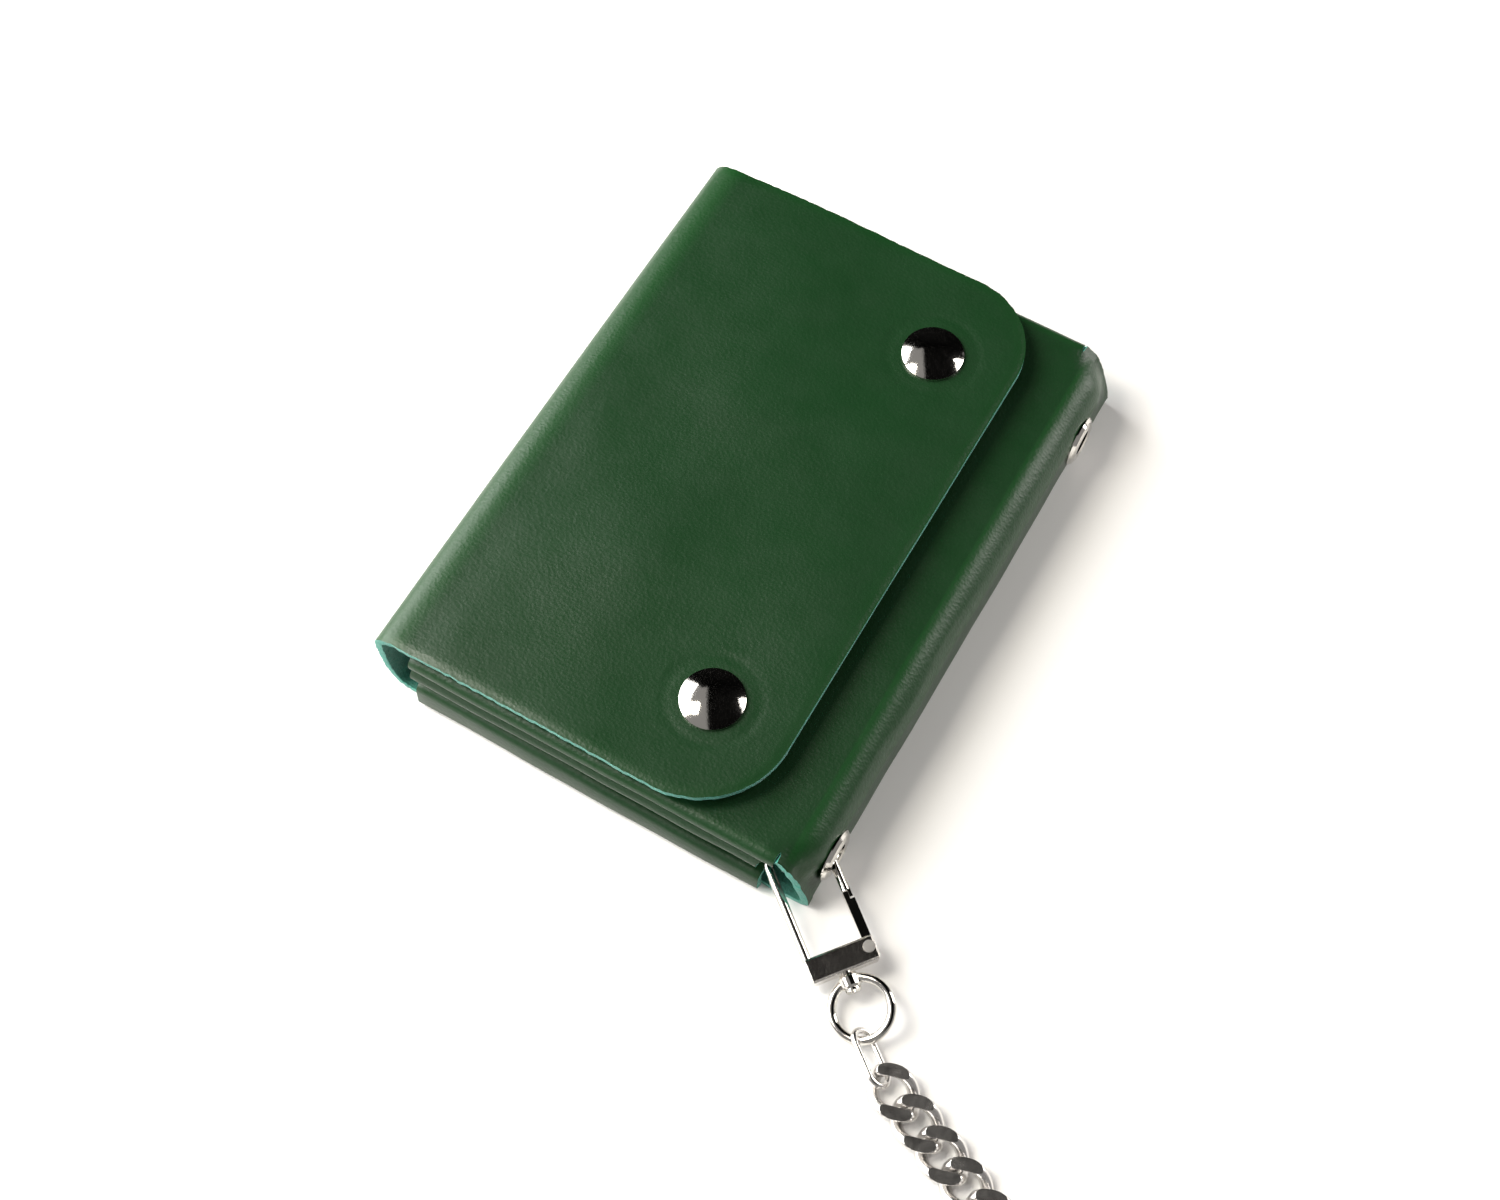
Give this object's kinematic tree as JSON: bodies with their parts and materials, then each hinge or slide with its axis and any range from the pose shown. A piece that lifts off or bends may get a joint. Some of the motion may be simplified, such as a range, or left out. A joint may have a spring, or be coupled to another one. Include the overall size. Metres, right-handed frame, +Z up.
{
  "type": "chain wallet",
  "caption": "Folded leather wallet with a snapped flap, two eyelets in one side wall, and a curb chain with a swivel snap hook at each end.",
  "frame": {"origin": "on the surface the wallet lies on, under the middle of its back panel, 46.5 mm from the outside of the side wall and 61 mm from each end of it", "axes": "+X from the spine, where the flap folds, to the side wall with the eyelets; +Y along the spine, away from the hook's corner; +Z up through the flap"},
  "size_m": [0.1896, 0.2543, 0.0217],
  "materials": {
    "leather": "smooth grained, softly waxed",
    "lining_leather": "flesh side, matt and slightly fibrous",
    "nickel": "polished nickel plate",
    "snap_plating": "nickel plate",
    "spring_steel": "drawn wire"
  },
  "bodies": {
    "wallet": {"main_panel": "leather", "front_side_folds": "leather", "back_side_folds": "leather", "card_divider": "lining_leather", "snap_studs": "snap_plating", "snap_stud_rivets": "snap_plating", "eyelets": "nickel", "eyelet_washers": "snap_plating"},
    "spine": {"spine_panel": "leather"},
    "flap": {"flap_panel": "leather", "snap_caps": "nickel", "snap_sockets": "snap_plating", "snap_spring_rings": "spring_steel"},
    "near_hook": {"wallet_hook_frame": "nickel", "wallet_hook_block": "nickel", "wallet_hook_gate_spring": "spring_steel", "wallet_hook_gate_rivet": "nickel", "wallet_hook_swivel_post": "nickel"},
    "near_gate": {"wallet_hook_gate": "nickel"},
    "near_ring": {"wallet_hook_swivel_ring": "nickel"},
    "chain": {"near_connector_link": "nickel", "chain_links_1": "nickel", "chain_links_2": "nickel", "chain_links_3": "nickel", "chain_links_4": "nickel", "far_connector_link": "nickel", "belt_hook_swivel_ring": "nickel"},
    "far_hook": {"belt_hook_frame": "nickel", "belt_hook_block": "nickel", "belt_hook_gate_spring": "spring_steel", "belt_hook_gate_rivet": "nickel", "belt_hook_swivel_post": "nickel"},
    "far_gate": {"belt_hook_gate": "nickel"}
  },
  "joints": [
    {"name": "spine_hinge", "type": "hinge", "parent": "wallet", "child": "spine", "pos_m": [-0.0382, 0, 0.00075], "axis": [0, -1, 0], "range_deg": [0, 55]},
    {"name": "flap_hinge", "type": "hinge", "parent": "spine", "child": "flap", "pos_m": [-0.043, 0, 0.01905], "axis": [0, -1, 0], "range_deg": [0, 125]},
    {"name": "hook_swing", "type": "hinge", "parent": "wallet", "child": "near_hook", "pos_m": [0.04595, -0.0519, 0.0056], "axis": [0, 0, 1], "range_deg": [-1.5, 6]},
    {"name": "near_gate_hinge", "type": "hinge", "parent": "near_hook", "child": "near_gate", "pos_m": [0.05976, -0.06319, 0.00404], "axis": [0.0687, -0.0537, 0.9962], "range_deg": [0, 25], "stiffness_Nm_per_rad": 0.01, "springref_deg": -22.92},
    {"name": "near_swivel", "type": "hinge", "parent": "near_hook", "child": "near_ring", "pos_m": [0.06385, -0.073, 0.00323], "axis": [0.785, -0.6133, -0.0872], "range_deg": [0, 18]},
    {"name": "chain_swing", "type": "hinge", "parent": "near_hook", "child": "chain", "pos_m": [0.06673, -0.07744, 0.00216], "axis": [0, 0, 1], "range_deg": [-3, 1.5]},
    {"name": "far_swivel", "type": "hinge", "parent": "chain", "child": "far_hook", "pos_m": [0.08594, -0.1149, 0.00297], "axis": [-0.9988, 0.0262, 0.0419], "continuous": true},
    {"name": "far_gate_hinge", "type": "hinge", "parent": "far_hook", "child": "far_gate", "pos_m": [0.09509, -0.12034, 0.00258], "axis": [0.0419, -0.0011, 0.9991], "range_deg": [0, 25], "stiffness_Nm_per_rad": 0.01, "springref_deg": -22.92}
  ]
}
